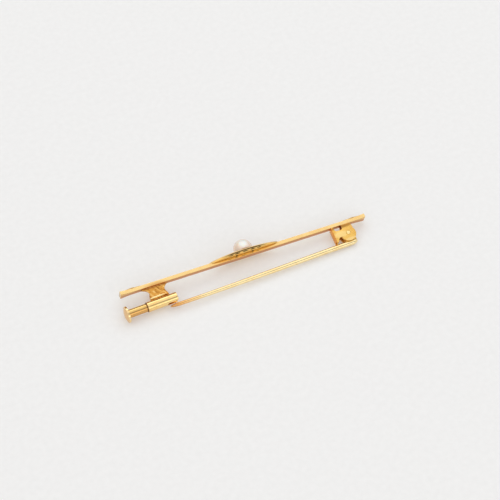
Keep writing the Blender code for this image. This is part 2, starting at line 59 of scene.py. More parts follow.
MOUNTS = {mount["name"]: mount for mount in frame["record"]["mounts"]}
JOINTS = {joint["name"]: joint for joint in frame["joints"]}
HINGE = JOINTS["pin_hinge"]
SLIDE = JOINTS["plunger_slide"]
RIGHT_END = Vector(MOUNTS["hinge_end_face"]["pos_m"])
LEFT_END = Vector(MOUNTS["catch_end_face"]["pos_m"])
BROOCH = axes((RIGHT_END + LEFT_END) / 2, MOUNTS["hinge_end_face"]["axis"], HINGE["axis"])
CATCH = axes(SLIDE["pos_m"], SLIDE["axis"], HINGE["axis"])
PIN_REST_ANGLE = math.radians(1.5)
PIN = Matrix.Translation(HINGE["pos_m"]) @ BROOCH.to_3x3().to_4x4() @ Matrix.Rotation(PIN_REST_ANGLE, 4, 'Z')
CATCH_IN_BROOCH = BROOCH.inverted() @ CATCH


def extent(node, place, keep=None):
    """Lowest and highest corner of a CAD node in millimetres along the given axes."""
    into = place.inverted()
    points = [into @ vertex.co / MM for vertex in frame["nodes"][node].data.vertices]
    if keep:
        points = [point for point in points if keep(point)]
    low = Vector([min(point[i] for point in points) for i in range(3)])
    high = Vector([max(point[i] for point in points) for i in range(3)])
    return low, high


# ---- sizes, from the CAD nodes

BAR_LOW, BAR_HIGH = extent("bar", BROOCH)
BAR_HALF = BAR_HIGH.x
BAR_BACK = BAR_LOW.y
BAR_FRONT = BAR_HIGH.y
FLARE_HEIGHT = BAR_HIGH.z
BAR_HEIGHT = extent("bar", BROOCH, lambda point: abs(point.x) < 15)[1].z
FLARE_LENGTH = 3.4

PLAQUE_LOW, PLAQUE_HIGH = extent("plaque", BROOCH)
PLAQUE_HALF_LENGTH = PLAQUE_HIGH.x
PLAQUE_HALF_HEIGHT = PLAQUE_HIGH.z
PLAQUE_FULLNESS = 1.8
PLAQUE_BLUNTNESS = 0.6
PLAQUE_BACK = PLAQUE_LOW.y
RIM_LOW, RIM_HIGH = extent("plaque_rim", BROOCH)
PEARL_LOW, PEARL_HIGH = extent("pearl", BROOCH)
PEARL_X = (PEARL_LOW.x + PEARL_HIGH.x) / 2
PEARL_RADIUS = (PEARL_HIGH.x - PEARL_LOW.x) / 2
PEARL_CENTRE = PEARL_HIGH.y - PEARL_RADIUS
CUP_LOW, CUP_HIGH = extent("pearl_cup", BROOCH)

TUBE_HIGH = extent("catch_tube", CATCH)[1]
TUBE_RADIUS = TUBE_HIGH.z
TUBE_HALF = TUBE_HIGH.x
TUBE_BORE = TUBE_RADIUS - 0.12
PLUNGER_LOW, PLUNGER_HIGH = extent("plunger_tube", CATCH)
PLUNGER_RADIUS = PLUNGER_HIGH.z
PLUNGER_BORE = PLUNGER_RADIUS - 0.18
DISC_LOW, DISC_HIGH = extent("thumb_disc", CATCH)
DISC_RADIUS = DISC_HIGH.z
PIN_SLOT_LENGTH = 2.4
PIN_SLOT_HALF_WIDTH = 0.48

PLATE_LOW, PLATE_HIGH = extent("catch_plate", BROOCH)
PLATE_X = (PLATE_LOW.x + PLATE_HIGH.x) / 2
PLATE_TOP_HALF_WIDTH = (PLATE_HIGH.x - PLATE_LOW.x) / 2
PLATE_WAIST_HALF_WIDTH = 1.60
PLATE_FOOT_HALF_WIDTH = 2.08
PLATE_WAIST_Y = -1.80
PLATE_TOP = 0.02
PLATE_BOTTOM = -0.43
PIP_X = -2.8

BRACKET_LOW, BRACKET_HIGH = extent("hinge_bracket", BROOCH)
CHEEK_OUTER = BRACKET_HIGH.z
CHEEK_INNER = 0.53
WEB_X = BRACKET_LOW.x
WEB_THICKNESS = 0.32
KNUCKLE_RADIUS = 1.68
RIVET_LOW, RIVET_HIGH = extent("hinge_rivet", BROOCH)
HINGE_X = (RIVET_LOW.x + RIVET_HIGH.x) / 2
HINGE_Y = (RIVET_LOW.y + RIVET_HIGH.y) / 2
RIVET_HEAD_RADIUS = (RIVET_HIGH.x - RIVET_LOW.x) / 2
RIVET_TOP = RIVET_HIGH.z
RIVET_RADIUS = 0.275
EYE_LEFT = 19.55
EYE_RIGHT = 21.28

STEM_LOW, STEM_HIGH = extent("pin_stem", PIN)
PIN_RADIUS = STEM_HIGH.z
PIN_TIP_RADIUS = 0.39
PIN_LENGTH = -STEM_LOW.x
PIN_HEEL = STEM_HIGH.x
PIN_OFFSET = 2.02
PIN_BOW = 0.12
PIN_TAPER_END = PIN_LENGTH - 2.25
TONGUE_RADIUS = 1.25
TONGUE_HALF_THICKNESS = 0.49


# ---- materials

# Brown laid into corners by ambient occlusion: painted shade, with some dirt as well.
SHADE_AND_DIRT = (0.15, 0.065, 0.022)


class Nodes:
    """Short names for adding nodes to a material or a world."""

    def __init__(self, owner, shader="Principled BSDF", coordinates="Object", place=Matrix()):
        self.owner = owner
        owner.use_nodes = True
        self.tree = owner.node_tree
        self.shader = self.tree.nodes[shader]
        self.coordinates = self.tree.nodes.new("ShaderNodeTexCoord").outputs[coordinates]
        self.place = place

    def add(self, kind, **values):
        """A new node; each value is for its property of that name, or else for its socket."""
        node = self.tree.nodes.new(kind)
        for key, value in values.items():
            if hasattr(node, key):
                setattr(node, key, value)
            else:
                node.inputs[key.replace("_", " ").title()].default_value = value
        return node

    def link(self, output, target):
        self.tree.links.new(output, target)

    def set_shader(self, values):
        """Set or link sockets of the shader by name."""
        for name, value in values.items():
            if isinstance(value, bpy.types.NodeSocket):
                self.link(value, self.shader.inputs[name])
            else:
                self.shader.inputs[name].default_value = value

    def stretched(self, scale, centre=(0, 0, 0), turn=0.0):
        """Position along the piece's own axes from a point in millimetres, times a scale per axis.

        The scale is in features per metre; turn is an angle about the piece's Z axis."""
        place = self.place @ Matrix.Translation(Vector(centre) * MM) @ Matrix.Rotation(turn, 4, 'Z')
        mapping = self.add("ShaderNodeMapping", vector_type='TEXTURE', rotation=place.to_euler(),
                           scale=[1.0 / factor for factor in scale])
        mapping.inputs["Location"].default_value = place.translation
        self.link(self.coordinates, mapping.inputs["Vector"])
        return mapping.outputs["Vector"]

    def noise(self, scale, detail=4.0, roughness=0.55, distortion=0.0, turn=0.0):
        """Soft noise from 0 to 1 with a scale per axis."""
        vector = self.stretched(scale, turn=turn)
        node = self.add("ShaderNodeTexNoise", scale=1.0, detail=detail, roughness=roughness,
                        distortion=distortion)
        self.link(vector, node.inputs["Vector"])
        return node.outputs["Fac"]

    def ramp(self, factor, stops):
        node = self.add("ShaderNodeValToRGB")
        elements = node.color_ramp.elements
        while len(elements) < len(stops):
            elements.new(0.5)
        for element, (position, color) in zip(elements, stops):
            element.position = position
            element.color = (*color, 1.0)
        self.link(factor, node.inputs["Fac"])
        return node.outputs["Color"]

    def map_range(self, value, low, high, from_low=0.3, from_high=0.7, kind='LINEAR'):
        node = self.add("ShaderNodeMapRange", interpolation_type=kind, from_min=from_low, from_max=from_high,
                        to_min=low, to_max=high)
        self.link(value, node.inputs["Value"])
        return node.outputs["Result"]

    def mixed(self, factor, value, other):
        """A colour or number that passes into another, constant one as the factor grows."""
        number = isinstance(other, float)
        mix = self.add("ShaderNodeMix", data_type='FLOAT' if number else 'RGBA')
        self.link(factor, mix.inputs["Factor"])
        self.link(value, mix.inputs["A"])
        mix.inputs["B"].default_value = other if number else (*other, 1.0)
        return mix.outputs["Result"]

    def shaded_and_dirty(self, colour, amount):
        """The colour darkened towards brown in corners that little light reaches, found by ambient occlusion:
        painted shade, with some dirt there too.
        """
        corners = self.add("ShaderNodeAmbientOcclusion", samples=6, distance=0.5 * MM)
        return self.mixed(self.map_range(corners.outputs["AO"], amount, 0.0, 0.15, 0.60), colour, SHADE_AND_DIRT)

    def banded(self, colour, axis, full, gone, other):
        """The colour, passing into another one along an axis of the piece."""
        split = self.add("ShaderNodeSeparateXYZ")
        self.link(self.stretched([1 / MM] * 3), split.inputs["Vector"])
        return self.mixed(self.map_range(split.outputs[axis], 1.0, 0.0, full, gone), colour, other)

    def painted_patch(self, colour, centre, radii, other, strength=1.0):
        """The colour, passing into another one towards the middle of an ellipsoid in millimetres: a patch of
        painted light or shade.
        """
        length = self.add("ShaderNodeVectorMath", operation='LENGTH')
        self.link(self.stretched([1 / MM / radius for radius in radii], centre), length.inputs[0])
        return self.mixed(self.map_range(length.outputs["Value"], strength, 0.0, 0.55, 1.0), colour, other)

    def bump(self, height, strength, distance, normal=None):
        node = self.add("ShaderNodeBump", strength=strength, distance=distance)
        self.link(height, node.inputs["Height"])
        if normal:
            self.link(normal, node.inputs["Normal"])
        return node.outputs["Normal"]


def material_nodes(name, place=Matrix()):
    return Nodes(bpy.data.materials.new(name), place=place)


def gold(name, place, tone, tarnish, roughness, grain, depth=0.25, wear=0.06, shade_and_dirt=0.6, marks=()):
    """Yellow gold: clouds of tarnish, a worn grain of the given stretch, and painted shade with some dirt
    darkening the corners.

    A mark is BAND or PAINTED_PATCH, a band or a patch of painted light or shade, and what that takes after the
    colour it is laid over."""
    nodes = material_nodes(name, place)
    clouds = nodes.noise([420] * 3, detail=5.0, distortion=0.4)
    fine = nodes.noise(grain, detail=3.0, roughness=0.6)
    bright = tuple(min(channel * 1.05, 1.0) for channel in tone)
    colour = nodes.ramp(clouds, [(0.30, tarnish), (0.52, tone), (0.75, bright)])
    for mark, *values in marks:
        colour = mark(nodes, colour, *values)
    dents = nodes.bump(nodes.noise([900] * 3, detail=2.0), 0.25, 0.00002)
    nodes.set_shader({
        "Metallic": 1.0,
        "Base Color": nodes.shaded_and_dirty(colour, shade_and_dirt),
        "Roughness": nodes.map_range(fine, roughness - wear, roughness + wear),
        "Normal": nodes.bump(fine, depth, 0.00001, dents)})
    return nodes.owner


def scraped_gold(name, place, tone, dark, light):
    """Gold left rough from the file: short slanting strokes, some dark with dirt and some bright, a painted
    highlight along the ridge and painted shade in the corners.
    """
    nodes = material_nodes(name, place)
    slant = math.radians(-52)
    strokes = nodes.noise((700, 3000, 1800), detail=4.0, roughness=0.65, distortion=0.6, turn=slant)
    clouds = nodes.noise([650] * 3, detail=3.0)
    colour = nodes.ramp(strokes, [(0.38, dark), (0.46, tone), (0.56, tone), (0.64, light)])
    colour = nodes.mixed(nodes.map_range(clouds, 0.0, 0.35, 0.50, 0.68), colour, dark)
    # Painted highlight: a bright strip laid along the raised ridge beside the tube.
    ridge = TUBE_RADIUS + 0.40
    colour = nodes.painted_patch(colour, (-0.5, ridge, 0.2), (2.1, 0.26, 0.4), (0.98, 0.80, 0.40), 0.9)
    nodes.set_shader({
        "Metallic": 1.0,
        "Base Color": nodes.shaded_and_dirty(colour, 0.8),
        "Roughness": nodes.map_range(strokes, 0.42, 0.22),
        "Normal": nodes.bump(clouds, 0.4, 0.00006, nodes.bump(strokes, 0.8, 0.00004))})
    return nodes.owner


def nacre(name, place):
    """Pearl: warm white body with faint rose clouds, a painted greenish-white highlight high on it, a glassy skin
    and a rosy sheen at its edge.
    """
    nodes = material_nodes(name, place)
    clouds = nodes.noise([520] * 3, detail=3.0, distortion=0.8)
    rose = (0.92, 0.68, 0.56)
    cream = (0.94, 0.75, 0.63)
    ivory = (0.90, 0.82, 0.70)
    body = nodes.ramp(clouds, [(0.30, rose), (0.50, cream), (0.70, ivory)])
    # Painted highlight: a greenish-white patch on the top of the pearl, where the light falls.
    painted_highlight = (PEARL_X - 0.05, PEARL_CENTRE + 0.55, 1.9)
    body = nodes.painted_patch(body, painted_highlight, (1.15, 1.15, 1.15), (0.92, 0.96, 0.92), 0.9)
    layers = nodes.noise((2600, 9000, 2600), detail=3.0)
    nodes.set_shader({
        "Base Color": body,
        "Roughness": nodes.map_range(layers, 0.20, 0.32),
        "Normal": nodes.bump(layers, 0.10, 0.000006),
        "Subsurface Weight": 0.45,
        "Subsurface Radius": (1.0, 0.75, 0.60),
        "Subsurface Scale": 0.0009,
        "Coat Weight": 0.6,
        "Coat Roughness": 0.10,
        "Sheen Weight": 0.35,
        "Sheen Roughness": 0.35,
        "Sheen Tint": (1.0, 0.80, 0.70, 1.0),
        "IOR": 1.60})
    return nodes.owner


# Every mark laid below with BAND or PAINTED_PATCH is painted light or shade.
BAND = Nodes.banded
PAINTED_PATCH = Nodes.painted_patch

POLISHED = (0.94, 0.67, 0.29)
WARM = (0.87, 0.54, 0.14)
# Deep orange for the catch plate, standing in for gold-on-gold reflections between the bar and the tube: painted
# reflection.
DEEP_REFLECTION = (0.72, 0.35, 0.07)
TARNISH = (0.74, 0.40, 0.09)
# Near black laid inside the plaque's piercings and on the faces where its two plates meet: painted shade.
GAP_SHADE = (0.10, 0.045, 0.02)
LIT_WING = (0.99, 0.68, 0.23)
FINE_GRAIN = (2600, 2600, 2600)
DRAWN = (260, 5600, 5600)

# Painted shade on the bar: its middle darkened to the deeper orange of the plaque's back, a darker patch where the
# catch plate meets its back, and its back face darkened like the shaded table it reflects, kept polished near the
# ends.
BAR_GOLD = gold("bar_gold", BROOCH, POLISHED, (0.88, 0.57, 0.22), 0.20, DRAWN,
                marks=[(PAINTED_PATCH, (0, 0, 0.6), (8.5, 3, 3), (0.85, 0.49, 0.15), 0.85),
                       (PAINTED_PATCH, (PLATE_X, -0.4, 0.2), (3.6, 0.8, 0.8), (0.72, 0.38, 0.11), 0.8),
                       (BAND, 'Y', -0.40, -0.34, (0.63, 0.285, 0.11)),
                       (PAINTED_PATCH, (BAR_HALF, BAR_BACK, 0.8), (4.5, 0.4, 0.9), POLISHED, 0.7),
                       (PAINTED_PATCH, (-BAR_HALF, BAR_BACK, 0.8), (4.5, 0.4, 0.9), POLISHED, 0.7)])
# Painted light: both plaque plates lightened to bright orange-gold over their wings, towards each tip.
LIT_WING_MARKS = [(PAINTED_PATCH, (side * 7.4, 0.3, 0), (4.6, 3, 6), LIT_WING, 1.0) for side in (1, -1)]
# The back plate's tone and tarnish are lighter than the other golds: painted light making up for the shaded table
# its back face reflects.
BACK_PLATE_GOLD = gold("back_plate_gold", BROOCH, (1.0, 0.76, 0.30), (0.96, 0.66, 0.22), 0.52, FINE_GRAIN,
                       depth=0.4, shade_and_dirt=0.1,
                       # painted shade: near black inside the back plate's piercings and on its front face
                       marks=[(BAND, 'Y', PLAQUE_BACK + 0.03, PLAQUE_BACK + 0.01, GAP_SHADE)] + LIT_WING_MARKS)
FRONT_PLATE_GOLD = gold("front_plate_gold", BROOCH, WARM, TARNISH, 0.26, FINE_GRAIN, depth=0.35,
                        # painted shade: near black on the front plate's back face
                        marks=[(BAND, 'Y', PLAQUE_HIGH.y + 0.05, PLAQUE_HIGH.y + 0.07, GAP_SHADE)] + LIT_WING_MARKS)
CUP_GOLD = gold("cup_gold", BROOCH, WARM, TARNISH, 0.24, FINE_GRAIN)
RIM_GOLD = gold("rim_gold", BROOCH, (0.97, 0.74, 0.38), (0.90, 0.60, 0.24), 0.38, FINE_GRAIN, shade_and_dirt=0.1)
LEAF_GOLD = gold("leaf_gold", BROOCH, (0.96, 0.74, 0.40), (0.92, 0.64, 0.30), 0.40, FINE_GRAIN, shade_and_dirt=0.0)
PLATE_GOLD = scraped_gold("plate_gold", CATCH, DEEP_REFLECTION, (0.34, 0.12, 0.02), (0.95, 0.66, 0.26))
# Painted shade, with some dirt: a dark ring on the tube's left lip, where the plunger goes in.
TUBE_GOLD = gold("tube_gold", CATCH, (0.97, 0.69, 0.30), (0.92, 0.59, 0.22), 0.13, DRAWN,
                 depth=0.18, shade_and_dirt=0.0,
                 marks=[(BAND, 'X', -TUBE_HALF + 0.06, -TUBE_HALF + 0.18, (0.26, 0.11, 0.04))])
# Painted shade: the plunger darkened to orange on its side away from the bar.
PLUNGER_GOLD = gold("plunger_gold", CATCH, (0.80, 0.55, 0.20), (0.70, 0.44, 0.13), 0.20, DRAWN,
                    marks=[(BAND, 'Y', -0.35, 0.05, (0.72, 0.40, 0.13)),
                           # painted shade, with some dirt: a dark ring on the plunger at the tube's mouth
                           (BAND, 'X', -TUBE_HALF - 0.06, -TUBE_HALF - 0.20, (0.34, 0.15, 0.05))])
# Painted shade: the dome on the disc's outer face darker than its rim.
DISC_GOLD = gold("disc_gold", CATCH, (0.94, 0.70, 0.36), (0.86, 0.56, 0.26), 0.20, FINE_GRAIN,
                 marks=[(BAND, 'X', DISC_HIGH.x - 0.46, DISC_HIGH.x - 0.36, (0.84, 0.55, 0.27))])
# Painted light and shade on the bracket: lighter patches beside and below the knuckle as painted highlights, a
# dark patch along the bar as painted shade, and the web's face darkened to orange as painted shade.
BRACKET_LIGHT_AND_SHADE = [
    (PAINTED_PATCH, (HINGE_X - 1.6, HINGE_Y + 0.1, 0.85), (1.9, 0.9, 2), (0.95, 0.70, 0.28), 0.8),
    (PAINTED_PATCH, (HINGE_X + 0.1, HINGE_Y - 1.5, 0.85), (1.7, 0.5, 2), (0.96, 0.70, 0.30), 0.7),
    (PAINTED_PATCH, (HINGE_X - 1.0, -0.72, 0.95), (4.2, 0.62, 0.35), (0.45, 0.22, 0.05), 1.0),
    (BAND, 'X', WEB_X + 0.02, WEB_X + 0.10, (0.90, 0.40, 0.06))]
BRACKET_GOLD = gold("bracket_gold", BROOCH, WARM, TARNISH, 0.27, (2400, 3400, 1200), depth=0.5, shade_and_dirt=0.35,
                    marks=BRACKET_LIGHT_AND_SHADE)
TONGUE_GOLD = gold("tongue_gold", PIN, (0.74, 0.42, 0.10), (0.56, 0.28, 0.06), 0.30, FINE_GRAIN, shade_and_dirt=0.9)
RIVET_GOLD = gold("rivet_gold", BROOCH, (0.97, 0.76, 0.36), (0.92, 0.64, 0.25), 0.26, FINE_GRAIN, shade_and_dirt=0.2)
# The wire turns orange-brown over its last 8 mm to the point: painted shade where the tip lies under the catch
# tube, partly tarnish.
PIN_GOLD = gold("pin_gold", PIN, (0.95, 0.77, 0.42), (0.92, 0.69, 0.33), 0.15, (240, 6800, 6800), depth=0.2,
                marks=[(BAND, 'X', -PIN_LENGTH + 1.0, -PIN_LENGTH + 8, (0.78, 0.38, 0.11)),
                       (BAND, 'X', -PIN_LENGTH + 0.8, -PIN_LENGTH + 1.8, (0.64, 0.32, 0.11))])
SOLDER_GOLD = gold("solder_gold", BROOCH, (0.80, 0.52, 0.20), (0.60, 0.34, 0.11), 0.34, FINE_GRAIN, depth=0.6)
PEARL_NACRE = nacre("pearl_nacre", BROOCH)


# ---- mesh helpers

FACING_FRONT = Matrix.Rotation(math.pi / 2, 4, 'X')
ALONG_X = Matrix.Rotation(math.pi / 2, 4, 'Y')
ALONG_Y = Matrix.Rotation(-math.pi / 2, 4, 'X')
ALONG_BAR = Matrix.Rotation(math.pi / 2, 4, 'Z') @ Matrix.Rotation(math.pi / 2, 4, 'X')


def shift(x, y, z):
    return Matrix.Translation(Vector((x, y, z)))


def skin(rows, closed=False):
    """A mesh through rows of points in millimetres, with its faces turned outwards.

    Each row is a ring, or a single point that its neighbour closes on. The last row joins the first one
    if closed; otherwise each end that is a ring gets a flat face."""
    mesh = bpy.data.meshes.new("skin")
    shape = bmesh.new()
    width = max(len(row) for row in rows)
    rings = []
    for row in rows:
        ring = [shape.verts.new(point) for point in row]
        rings.append(ring if len(ring) > 1 else ring * width)
    count = len(rings)
    for i in range(count if closed else count - 1):
        for j in range(width):
            next_i = (i + 1) % count
            next_j = (j + 1) % width
            corners = [rings[i][j], rings[i][next_j], rings[next_i][next_j], rings[next_i][j]]
            unique = list(dict.fromkeys(corners))
            if len(unique) > 2:
                shape.faces.new(unique)
    for row, ring in ((rows[0], rings[0]), (rows[-1], rings[-1])):
        if len(row) > 1 and not closed:
            shape.faces.new(ring)
    bmesh.ops.recalc_face_normals(shape, faces=shape.faces)
    bmesh.ops.scale(shape, vec=(MM, MM, MM), verts=shape.verts)
    shape.to_mesh(mesh)
    shape.free()
    return mesh


def moved(mesh, matrix):
    """Place a mesh by a matrix whose shift is in millimetres."""
    turn = matrix.copy()
    turn.translation = turn.translation * MM
    mesh.transform(turn)
    return mesh


def on_circle(radius, angle, height):
    return radius * math.cos(angle), radius * math.sin(angle), height


def lathe(profile, steps=96, closed=False, shaped=on_circle):
    """A turned mesh about local Z from (radius, height) pairs; a radius of 0 ends on the axis.

    shaped(radius, angle, height) says where each of its points goes."""
    rows = []
    for radius, height in profile:
        angles = [2 * math.pi * i / steps for i in range(steps)] if radius else [0.0]
        rows.append([shaped(radius, angle, height) for angle in angles])
    return skin(rows, closed)


def swept(points, radii, sides=24, cyclic=False):
    """A round wire through the points, with its own radius at each; open ends are capped."""
    count = len(points)
    rows = []
    across = Vector((0, 0, 1))
    for i, (point, radius) in enumerate(zip(points, radii)):
        after = points[(i + 1) % count] if cyclic or i + 1 < count else point
        before = points[i - 1] if cyclic or i > 0 else point
        along = (Vector(after) - Vector(before)).normalized()
        across = (across - along * across.dot(along)).normalized()
        side = along.cross(across)
        ring = []
        for j in range(sides):
            angle = 2 * math.pi * j / sides
            offset = (across * math.cos(angle) + side * math.sin(angle)) * radius
            ring.append(Vector(point) + offset)
        rows.append(ring)
    return skin(rows, cyclic)


def new_object(name, data):
    """An object in the scene, at the origin."""
    obj = bpy.data.objects.new(name, data)
    bpy.context.scene.collection.objects.link(obj)
    return obj


def plate(outlines, thickness, rounding=0.0):
    """A flat plate with rounded edges from closed outlines; later outlines are holes."""
    curve = bpy.data.curves.new("plate", 'CURVE')
    curve.dimensions = '2D'
    curve.fill_mode = 'BOTH'
    curve.extrude = (thickness / 2 - rounding) * MM
    curve.bevel_depth = rounding * MM
    curve.bevel_resolution = 2
    curve.offset = -rounding * MM
    for outline in outlines:
        spline = curve.splines.new('POLY')
        spline.points.add(len(outline) - 1)
        for point, (x, y) in zip(spline.points, outline):
            point.co = (x * MM, y * MM, 0, 1)
        spline.use_cyclic_u = True
    holder = new_object("plate", curve)
    mesh = evaluated_mesh(holder)
    bpy.data.objects.remove(holder)
    return mesh


def evaluated_mesh(obj):
    """The object's mesh after its modifiers, with doubled vertices welded."""
    bpy.context.view_layer.update()
    depsgraph = bpy.context.evaluated_depsgraph_get()
    mesh = bpy.data.meshes.new_from_object(obj.evaluated_get(depsgraph))
    shape = bmesh.new()
    shape.from_mesh(mesh)
    bmesh.ops.remove_doubles(shape, verts=shape.verts, dist=MERGE)
    shape.to_mesh(mesh)
    shape.free()
    return mesh


def cut(mesh, cutters, rounding=0.0, segments=2, angle=35):
    """The mesh less the cutters, then with its sharp edges rounded."""
    holder = new_object("cut", mesh)
    helpers = []
    for cutter in cutters:
        helper = new_object("cutter", cutter)
        helpers.append(helper)
        modifier = holder.modifiers.new("Cut", 'BOOLEAN')
        modifier.operation = 'DIFFERENCE'
        modifier.solver = 'EXACT'
        modifier.object = helper
    if rounding:
        weld = holder.modifiers.new("Weld", 'WELD')
        weld.merge_threshold = 10 * MERGE
        bevel = holder.modifiers.new("Bevel", 'BEVEL')
        bevel.width = rounding * MM
        bevel.segments = segments
        bevel.limit_method = 'ANGLE'
        bevel.angle_limit = math.radians(angle)
    result = evaluated_mesh(holder)
    for helper in helpers + [holder]:
        bpy.data.objects.remove(helper)
    return result


def round_bar(radius, length, sides=48):
    half = length / 2
    return lathe([(0, half), (radius, half), (radius, -half), (0, -half)], sides)


def arc(centre, radius, start, end, count):
    """Points of an arc, angles in degrees."""
    angles = [math.radians(start + (end - start) * i / (count - 1)) for i in range(count)]
    return [(centre[0] + radius * math.cos(a), centre[1] + radius * math.sin(a)) for a in angles]


def corner(before, point, after, radius, count=5):
    """A rounded corner of an outline, as points of a quadratic curve."""
    point = Vector(point)
    to_before = (Vector(before) - point).normalized() * radius
    to_after = (Vector(after) - point).normalized() * radius
    result = []
    for i in range(count):
        t = i / (count - 1)
        result.append((point + to_before * (1 - t) ** 2 + to_after * t ** 2)[:])
    return result


def smoothstep(low, high, value):
    """0 at low and 1 at high, with a smooth run between them."""
    t = min(max((value - low) / (high - low), 0.0), 1.0)
    return t * t * (3 - 2 * t)


def add_piece(name, mesh, place, body, material, stands_for=(), sharp=38):
    """Link a finished mesh in place, let it ride on its body and hide the CAD parts it stands for."""
    mesh.name = name
    mesh.transform(place)
    mesh.materials.clear()
    mesh.materials.append(material)
    mesh.shade_smooth()
    mesh.set_sharp_from_angle(angle=math.radians(sharp))
    piece = new_object(name, mesh)
    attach(piece, body)
    if stands_for:
        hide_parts(*stands_for)
    return piece


# ---- bar

def bar_half_height(x):
    """Half the bar's height at x: constant, flaring out like a trumpet at each end."""
    inward = min((BAR_HALF - abs(x)) / FLARE_LENGTH, 1.0)
    return BAR_HEIGHT + (FLARE_HEIGHT - BAR_HEIGHT) * (1 - inward) ** 2


def make_bar():
    """The bar as one rounded section carried along X, with shallow file flats and a seat for the plaque.

    The seat ends where the plaque grows narrower than the bar, so its tips are let into the bar."""
    corner_radius = 0.07
    corner_steps = 4
    end_round = 0.09
    overlap = 1 - (BAR_HEIGHT / PLAQUE_HALF_HEIGHT) ** (1 / PLAQUE_BLUNTNESS)
    seat = PLAQUE_HALF_LENGTH * overlap ** (1 / PLAQUE_FULLNESS)

    def section(x):
        half = bar_half_height(x)
        front = PLAQUE_BACK - 0.02 if abs(x) < seat else BAR_FRONT
        waver = 0.012 * noise.noise(Vector((x * 0.9, 0.0, 3.0)))
        points = []
        for y_side, z_side, first in ((1, 1, 0), (-1, 1, 90), (-1, -1, 180), (1, -1, 270)):
            y = front - corner_radius if y_side > 0 else BAR_BACK + corner_radius
            z = (half - corner_radius) * z_side
            for i in range(corner_steps + 1):
                angle = math.radians(first + 90 * i / corner_steps)
                high = z + corner_radius * math.sin(angle) + waver * z_side
                points.append((y + corner_radius * math.cos(angle), high))
        return points

    count = 180
    stations = [-BAR_HALF + 2 * BAR_HALF * i / count for i in range(count + 1)]
    for side in (-1, 1):
        stations += [side * (seat - 0.005), side * (seat + 0.005)]
        stations += [side * (BAR_HALF - end_round), side * (BAR_HALF - 0.04)]
    middle_y = (BAR_FRONT + BAR_BACK) / 2
    rows = []
    for x in sorted(stations):
        from_end = min((BAR_HALF - abs(x)) / end_round, 1.0)
        inset = 0.07 * (1 - math.sqrt(max(0.0, 1 - (1 - from_end) ** 2)))
        row = []
        for y, z in section(x):
            y_inset = inset if y > middle_y else -inset
            z_inset = inset if z > 0 else -inset
            row.append((x, y - y_inset, z - z_inset))
        rows.append(row)
    add_piece("bar_body", skin(rows), BROOCH, "brooch", BAR_GOLD, ["bar"], sharp=30)


# ---- plaque, rim and pearl

def plaque_edge(x):
    """Half the plaque's height at x: a full curve over the middle that runs out to a blunt point."""
    share = max(0.0, 1 - abs(x / PLAQUE_HALF_LENGTH) ** PLAQUE_FULLNESS)
    return PLAQUE_HALF_HEIGHT * share ** PLAQUE_BLUNTNESS


def navette(inset, count=65):
    """The plaque's pointed-oval outline, moved inwards by inset."""
    length_share = 1 - 2 * inset / PLAQUE_HALF_LENGTH
    height_share = 1 - inset / PLAQUE_HALF_HEIGHT
    turns = [math.pi * (i / (count - 1) - 0.5) for i in range(count)]
    stations = [PLAQUE_HALF_LENGTH * math.sin(turn) for turn in turns]
    upper = [(x * length_share, plaque_edge(x) * height_share) for x in stations]
    return upper + [(x, -z) for x, z in reversed(upper[1:-1])]


def spaced(outline, pitch):
    """Points at an even pitch along a closed outline."""
    closed = [Vector(point) for point in outline] + [Vector(outline[0])]
    lengths = [0.0]
    for a, b in zip(closed, closed[1:]):
        lengths.append(lengths[-1] + (b - a).length)
    count = round(lengths[-1] / pitch)
    result = []
    segment = 0
    for i in range(count):
        target = lengths[-1] * i / count
        while lengths[segment + 1] < target:
            segment += 1
        share = (target - lengths[segment]) / (lengths[segment + 1] - lengths[segment])
        result.append(closed[segment].lerp(closed[segment + 1], share))
    return result


def petal(x, z, length, width, tilt, count=9):
    """A pointed petal-shaped hole."""
    half = length / 2
    radius = (half ** 2 + (width / 2) ** 2) / width
    sweep = math.degrees(math.asin(half / radius))
    upper = arc((0, width / 2 - radius), radius, 90 + sweep, 90 - sweep, count)
    points = upper + [(px, -pz) for px, pz in reversed(upper[1:-1])]
    turn = Matrix.Rotation(tilt, 2)
    return [(Vector((x, z)) + turn @ Vector(point))[:] for point in points]


def make_plaque():
    """Two plates, one behind the other: a pierced back and a thinner pierced front."""
    peg_hole = arc((PEARL_X, 0), 0.34, 0, 348, 30)
    back_holes = [peg_hole]
    front_holes = [peg_hole]
    back_petals = ((1.70, 0.42, 1.25, 0.54), (3.05, 0.40, 1.10, 0.48))
    front_petals = ((2.45, 0.95, 1.30, 0.55), (3.85, 0.80, 1.10, 0.42), (5.1, 0.62, 0.9, 0.3))
    for side_z in (1, -1):
        back_holes.append(petal(0, side_z * (PLAQUE_HALF_HEIGHT - 0.44), 1.45, 0.54, 0))
        for side_x in (1, -1):
            back_holes.append(arc((side_x * 1.75, side_z * 0.78), 0.19, 0, 345, 24))
            back_holes += [edge_petal(side_x, side_z, *sizes) for sizes in back_petals]
            front_holes += [edge_petal(side_x, side_z, *sizes) for sizes in front_petals]
    front = RIM_LOW.y - 0.02
    depth = front - 0.005 - PLAQUE_BACK
    add_plaque_plate("plaque_back_plate", 0.02, back_holes, PLAQUE_BACK, depth, BACK_PLATE_GOLD, ["plaque"])
    add_plaque_plate("plaque_front_plate", 0.12, front_holes, front, 0.10, FRONT_PLATE_GOLD)


def add_plaque_plate(name, inset, holes, back, thickness, material, stands_for=()):
    mesh = plate([navette(inset)] + holes, thickness, 0.02)
    moved(mesh, shift(0, back + thickness / 2, 0) @ FACING_FRONT)
    add_piece(name, mesh, BROOCH, "brooch", material, stands_for)


def edge_petal(side_x, side_z, x, inset, length, width):
    """A petal-shaped hole that follows the plaque's edge, in one of its four quarters."""
    slope = (plaque_edge(x + 0.01) - plaque_edge(x)) / 0.01
    z = side_z * (plaque_edge(x) - inset)
    return petal(side_x * x, z, length, width, side_x * side_z * math.atan(slope))


